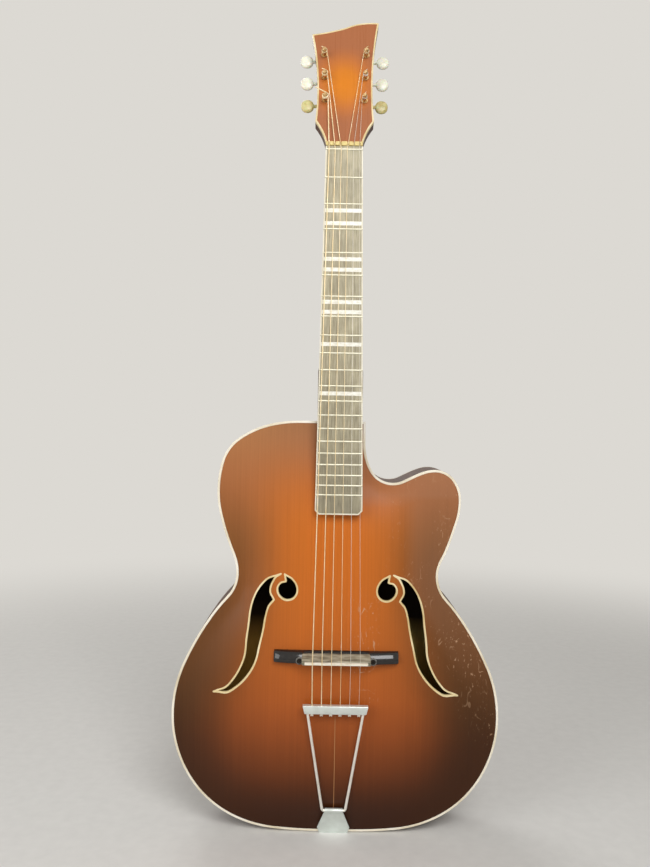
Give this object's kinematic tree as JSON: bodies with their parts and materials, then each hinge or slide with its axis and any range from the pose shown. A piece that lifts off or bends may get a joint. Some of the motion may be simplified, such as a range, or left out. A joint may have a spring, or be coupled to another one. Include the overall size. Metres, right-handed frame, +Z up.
{
  "type": "archtop guitar",
  "caption": "Hollow archtop guitar with one rounded cutaway, bound f-holes, zero fret, wooden bridge, trapeze tailpiece and open-geared tuners that turn their string posts.",
  "frame": {"origin": "underside of the tailpiece hinge plate's foot, on the guitar's centre line, at the middle of the rim's depth", "axes": "+Z up the neck, +X to the right seen from the front (treble side, cutaway), -Y out of the front"},
  "size_m": [0.416, 0.1281, 1.0468],
  "materials": {
    "sunburst_spruce": "glossy lacquer, orange in the middle and dark brown at the edge",
    "stained_maple": "glossy brown lacquer",
    "raw_spruce": "bare wood",
    "cream_binding": "aged celluloid",
    "fretboard_wood": "worn, bare",
    "pearl_inlay": "pearly",
    "fret_brass": "polished",
    "bone": "polished bone",
    "head_veneer": "glossy orange-brown lacquer",
    "black_wood": "black stain, worn",
    "nickel": "dulled nickel plate",
    "steel": "satin",
    "gear_brass": "aged",
    "bronze_string": "wound bronze",
    "steel_string": "bright",
    "ivory_plastic": "aged white"
  },
  "bodies": {
    "guitar": {"top_plate": "sunburst_spruce", "back_plate": "stained_maple", "bass_rib": "stained_maple", "treble_rib": "stained_maple", "neck_block": "raw_spruce", "tail_block": "raw_spruce", "linings": "raw_spruce", "tone_bars": "raw_spruce", "top_binding": "cream_binding", "back_binding": "cream_binding", "f_hole_bindings": "cream_binding", "neck": "stained_maple", "heel_cap": "cream_binding", "fretboard": "fretboard_wood", "fretboard_binding": "cream_binding", "frets": "fret_brass", "fret_markers": "pearl_inlay", "nut": "bone", "headstock_veneer": "head_veneer", "headstock_binding": "cream_binding", "bridge_base": "black_wood", "bridge_saddle": "bone", "tailpiece_hinge_plate": "nickel", "hinge_plate_screws": "steel", "string_1": "steel_string", "string_2": "steel_string", "string_3": "bronze_string", "string_4": "bronze_string", "string_5": "bronze_string", "string_6": "bronze_string", "tuner_plate_bass": "nickel", "tuner_plate_treble": "nickel", "tuner_plate_screws": "steel", "post_bushings": "nickel"},
    "tailpiece": {"tailpiece_crossbar": "nickel", "tailpiece_yoke": "nickel"},
    "post_1": {"string_post_1": "nickel", "post_gear_1": "gear_brass"},
    "post_2": {"string_post_2": "nickel", "post_gear_2": "gear_brass"},
    "post_3": {"string_post_3": "nickel", "post_gear_3": "gear_brass"},
    "post_4": {"string_post_4": "nickel", "post_gear_4": "gear_brass"},
    "post_5": {"string_post_5": "nickel", "post_gear_5": "gear_brass"},
    "post_6": {"string_post_6": "nickel", "post_gear_6": "gear_brass"},
    "button_1": {"worm_shaft_1": "steel", "tuner_button_1": "ivory_plastic"},
    "button_2": {"worm_shaft_2": "steel", "tuner_button_2": "ivory_plastic"},
    "button_3": {"worm_shaft_3": "steel", "tuner_button_3": "ivory_plastic"},
    "button_4": {"worm_shaft_4": "steel", "tuner_button_4": "ivory_plastic"},
    "button_5": {"worm_shaft_5": "steel", "tuner_button_5": "ivory_plastic"},
    "button_6": {"worm_shaft_6": "steel", "tuner_button_6": "ivory_plastic"}
  },
  "joints": [
    {"name": "tailpiece_hinge", "type": "hinge", "parent": "guitar", "child": "tailpiece", "pos_m": [0, -0.0495, 0.0342], "axis": [1, 0, 0], "range_deg": [-1.5, 5], "stiffness_Nm_per_rad": 10, "deforming": ["string_1", "string_2", "string_3", "string_4", "string_5", "string_6"]},
    {"name": "button_1_turn", "type": "hinge", "parent": "guitar", "child": "button_1", "pos_m": [0.0252, -0.00261, 0.93395], "axis": [0.9996, -0.0077, -0.0287], "continuous": true},
    {"name": "button_2_turn", "type": "hinge", "parent": "guitar", "child": "button_2", "pos_m": [0.02621, 0.00614, 0.96659], "axis": [0.9996, -0.0077, -0.0287], "continuous": true},
    {"name": "button_3_turn", "type": "hinge", "parent": "guitar", "child": "button_3", "pos_m": [0.02721, 0.01488, 0.99922], "axis": [0.9996, -0.0077, -0.0287], "continuous": true},
    {"name": "button_4_turn", "type": "hinge", "parent": "guitar", "child": "button_4", "pos_m": [-0.02721, 0.01488, 0.99922], "axis": [-0.9996, -0.0077, -0.0287], "continuous": true},
    {"name": "button_5_turn", "type": "hinge", "parent": "guitar", "child": "button_5", "pos_m": [-0.02621, 0.00614, 0.96659], "axis": [-0.9996, -0.0077, -0.0287], "continuous": true},
    {"name": "button_6_turn", "type": "hinge", "parent": "guitar", "child": "button_6", "pos_m": [-0.0252, -0.00261, 0.93395], "axis": [-0.9996, -0.0077, -0.0287], "continuous": true},
    {"name": "post_1_turn", "type": "hinge", "parent": "guitar", "child": "post_1", "pos_m": [0.025, -0.00442, 0.92719], "axis": [0, 0.9659, -0.2588], "continuous": true},
    {"name": "post_2_turn", "type": "hinge", "parent": "guitar", "child": "post_2", "pos_m": [0.026, 0.00432, 0.95983], "axis": [0, 0.9659, -0.2588], "continuous": true},
    {"name": "post_3_turn", "type": "hinge", "parent": "guitar", "child": "post_3", "pos_m": [0.027, 0.01307, 0.99246], "axis": [0, 0.9659, -0.2588], "continuous": true},
    {"name": "post_4_turn", "type": "hinge", "parent": "guitar", "child": "post_4", "pos_m": [-0.027, 0.01307, 0.99246], "axis": [0, 0.9659, -0.2588], "continuous": true},
    {"name": "post_5_turn", "type": "hinge", "parent": "guitar", "child": "post_5", "pos_m": [-0.026, 0.00432, 0.95983], "axis": [0, 0.9659, -0.2588], "continuous": true},
    {"name": "post_6_turn", "type": "hinge", "parent": "guitar", "child": "post_6", "pos_m": [-0.025, -0.00442, 0.92719], "axis": [0, 0.9659, -0.2588], "continuous": true}
  ],
  "couplings": [
    {"joint": "post_1_turn", "follows": "button_1_turn", "ratio": -0.071429},
    {"joint": "post_2_turn", "follows": "button_2_turn", "ratio": -0.071429},
    {"joint": "post_3_turn", "follows": "button_3_turn", "ratio": -0.071429},
    {"joint": "post_4_turn", "follows": "button_4_turn", "ratio": 0.071429},
    {"joint": "post_5_turn", "follows": "button_5_turn", "ratio": 0.071429},
    {"joint": "post_6_turn", "follows": "button_6_turn", "ratio": 0.071429}
  ]
}
